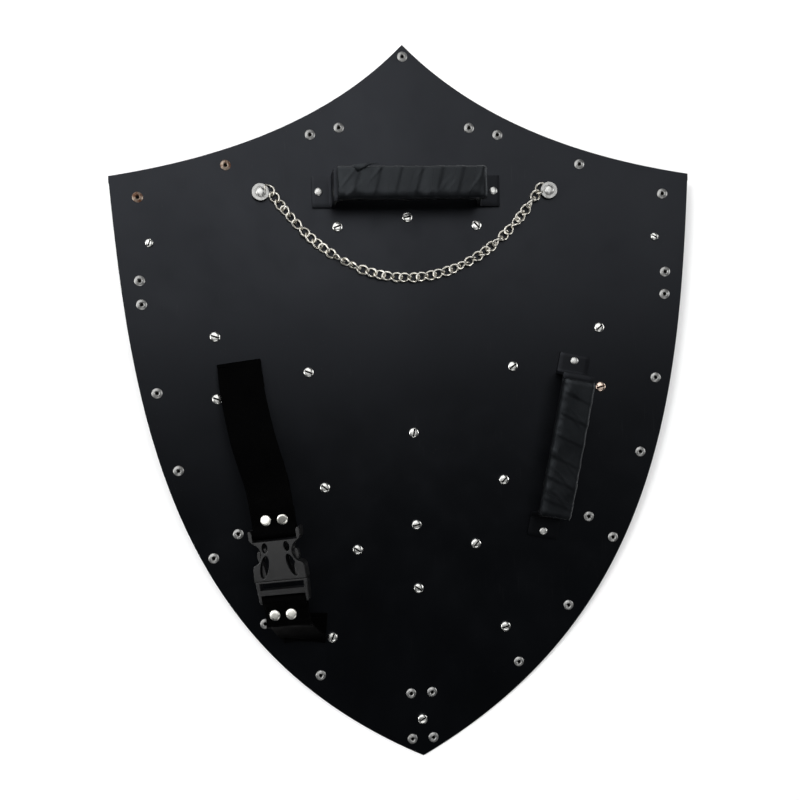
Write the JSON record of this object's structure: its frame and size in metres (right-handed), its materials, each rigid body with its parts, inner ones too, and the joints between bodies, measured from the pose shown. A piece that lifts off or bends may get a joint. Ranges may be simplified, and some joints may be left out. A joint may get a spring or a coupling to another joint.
{
  "type": "heater shield",
  "caption": "Bent steel heater shield seen from its inner side, with wrapped bar grips, a buckled webbing arm strap and a hanging chain.",
  "frame": {"origin": "middle of the box round the shield, at the level of its lowest face, the flat strip down its front", "axes": "+Z out of the inner side, up; +Y along the shield to its top peak; +X to the right as the inner side is looked at"},
  "size_m": [0.555, 0.7, 0.0735],
  "materials": {
    "plate_paint": "satin black paint over bent sheet steel",
    "grip_paint": "satin black paint over flat bar",
    "grip_tape": "black cloth-backed plastic tape, wound with overlaps, soft sheen",
    "webbing": "black woven nylon webbing",
    "buckle_plastic": "moulded black acetal, fine grain",
    "zinc_screws": "zinc-plated, turned marks, slots slightly worn",
    "grip_bolts": "dull zinc",
    "nickel": "bright nickel plate"
  },
  "bodies": {
    "root": {"plate": "plate_paint", "screw_under_grip_left": "zinc_screws", "screw_under_grip_right": "zinc_screws", "screw_flank_high_left": "zinc_screws", "screw_flank_high_right": "zinc_screws", "screw_inner_high_left": "zinc_screws", "screw_inner_high_right": "zinc_screws", "screw_flank_low_left": "zinc_screws", "screw_flank_low_right": "zinc_screws", "screw_inner_mid_left": "zinc_screws", "screw_inner_mid_right": "zinc_screws", "screw_inner_low_left": "zinc_screws", "screw_inner_low_right": "zinc_screws", "screw_lower_left": "zinc_screws", "screw_lower_right": "zinc_screws", "screw_centre_top": "zinc_screws", "screw_centre_heart": "zinc_screws", "screw_centre_belly": "zinc_screws", "screw_centre_low": "zinc_screws", "screw_centre_tip": "zinc_screws", "screw_shoulder_left": "zinc_screws", "screw_shoulder_right": "zinc_screws", "chain_washer_left": "nickel", "chain_bolt_left": "nickel", "chain_washer_right": "nickel", "chain_bolt_right": "nickel", "chain": "nickel", "top_grip_bracket": "grip_paint", "top_grip_wrap": "grip_tape", "side_grip_bracket": "grip_paint", "side_grip_wrap": "grip_tape", "top_grip_bolt_left": "grip_bolts", "top_grip_bolt_right": "grip_bolts", "side_grip_bolt_high": "grip_bolts", "side_grip_bolt_low": "grip_bolts", "upper_strap": "webbing", "upper_strap_rivet_1": "nickel", "upper_strap_rivet_2": "nickel", "lower_strap": "webbing", "lower_strap_rivet_1": "nickel", "lower_strap_rivet_2": "nickel", "buckle_socket": "buckle_plastic", "buckle_plug": "buckle_plastic"}
  },
  "joints": []
}
